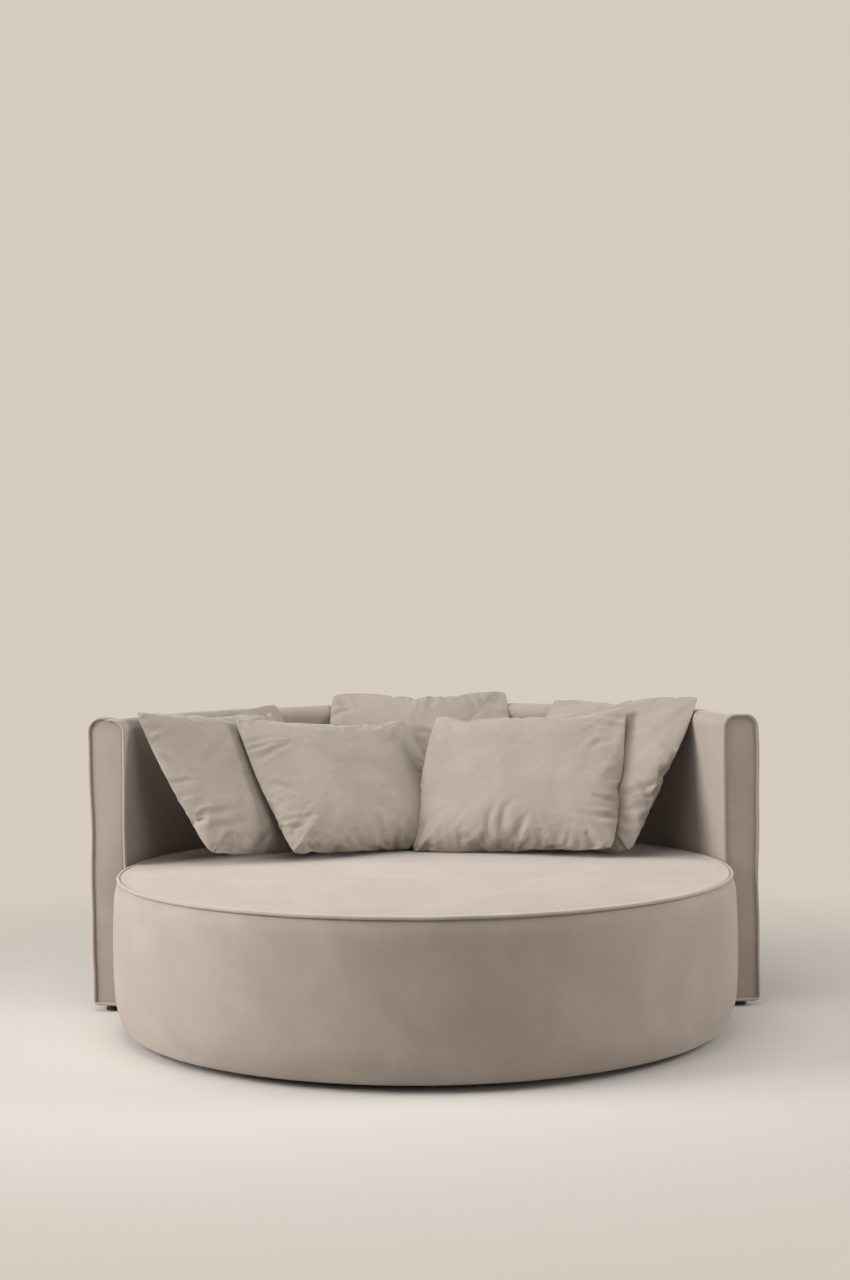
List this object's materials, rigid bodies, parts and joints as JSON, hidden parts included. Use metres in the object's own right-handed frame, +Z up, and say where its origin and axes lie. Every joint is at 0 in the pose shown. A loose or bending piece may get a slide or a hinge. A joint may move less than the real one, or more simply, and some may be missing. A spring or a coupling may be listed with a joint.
{
  "type": "round two-seater sofa",
  "caption": "Round upholstered two-seater sofa: a deep drum seat with piped edge, a curved padded back that ends in flat piped arms, and loose scatter cushions.",
  "frame": {"origin": "on the floor, at the centre of the sofa's plan (the middle of its bounding box)", "axes": "+X to the right of someone looking at the sofa's front, +Y towards the back, +Z up; the sofa faces -Y"},
  "size_m": [1.9036, 1.8152, 0.8746],
  "materials": {
    "velvet": "short-pile greige velvet, brighter at grazing angles",
    "piping_velvet": "the same velvet over a cord",
    "plywood": "sanded birch plywood",
    "bending_plywood": "thin bent plywood",
    "pine": "planed softwood",
    "foam": "upholstery foam",
    "wadding": "polyester wadding",
    "elastic_webbing": "woven elastic",
    "dust_cloth": "black non-woven cloth",
    "black_plastic": "matt black",
    "zinc_steel": "zinc-plated, satin"
  },
  "bodies": {
    "sofa": {"seat_cover": "velvet", "back_cover": "velvet", "seat_piping": "piping_velvet", "arm_piping_left": "piping_velvet", "arm_piping_right": "piping_velvet", "seat_base_board": "plywood", "seat_top_ring": "plywood", "arm_board_left": "plywood", "arm_board_right": "plywood", "seat_wall_skin": "bending_plywood", "back_inner_skin": "bending_plywood", "back_outer_skin": "bending_plywood", "seat_post_1": "pine", "seat_post_2": "pine", "seat_post_3": "pine", "seat_post_4": "pine", "seat_post_5": "pine", "seat_post_6": "pine", "seat_post_7": "pine", "seat_post_8": "pine", "seat_bearer_side": "pine", "seat_bearer_deep": "pine", "back_top_rail": "pine", "back_bottom_rail": "pine", "back_upright_1": "pine", "back_upright_2": "pine", "back_upright_3": "pine", "back_upright_4": "pine", "seat_foam": "foam", "back_inner_foam": "foam", "seat_wall_padding": "wadding", "back_wadding": "wadding", "webbing_deep_1": "elastic_webbing", "webbing_deep_2": "elastic_webbing", "webbing_deep_3": "elastic_webbing", "webbing_deep_4": "elastic_webbing", "webbing_side_1": "elastic_webbing", "webbing_side_2": "elastic_webbing", "webbing_side_3": "elastic_webbing", "seat_dust_cover": "dust_cloth", "back_dust_strip": "dust_cloth", "seat_glide_1": "black_plastic", "seat_glide_2": "black_plastic", "seat_glide_3": "black_plastic", "seat_glide_4": "black_plastic", "seat_glide_5": "black_plastic", "seat_glide_6": "black_plastic", "back_glide_1": "black_plastic", "back_glide_2": "black_plastic", "back_glide_3": "black_plastic", "back_glide_4": "black_plastic", "joining_plate_left": "zinc_steel", "joining_plate_right": "zinc_steel"},
    "cushion_left": {"cushion_left": "velvet"},
    "cushion_front_left": {"cushion_front_left": "velvet"},
    "cushion_back_middle": {"cushion_back_middle": "velvet"},
    "cushion_front_right": {"cushion_front_right": "velvet"},
    "cushion_back_right": {"cushion_back_right": "velvet"},
    "cushion_back_left": {"cushion_back_left": "velvet"}
  },
  "joints": [
    {"name": "lift_cushion_left", "type": "slide", "parent": "sofa", "child": "cushion_left", "axis": [-0.6664, -0.3543, 0.6561], "range_m": [0, 0.45]},
    {"name": "lift_cushion_front_left", "type": "slide", "parent": "sofa", "child": "cushion_front_left", "axis": [-0.484, 0.1762, 0.8572], "range_m": [0, 0.45]},
    {"name": "lift_cushion_back_middle", "type": "slide", "parent": "sofa", "child": "cushion_back_middle", "axis": [-0.0462, 0.5279, 0.848], "range_m": [0, 0.45]},
    {"name": "lift_cushion_front_right", "type": "slide", "parent": "sofa", "child": "cushion_front_right", "axis": [0.171, -0.4698, 0.866], "range_m": [0, 0.45]},
    {"name": "lift_cushion_back_right", "type": "slide", "parent": "sofa", "child": "cushion_back_right", "axis": [0.3039, 0.4341, 0.848], "range_m": [0, 0.45]},
    {"name": "lift_cushion_back_left", "type": "slide", "parent": "sofa", "child": "cushion_back_left", "axis": [-0.4162, 0.0734, 0.9063], "range_m": [0, 0.45]}
  ]
}
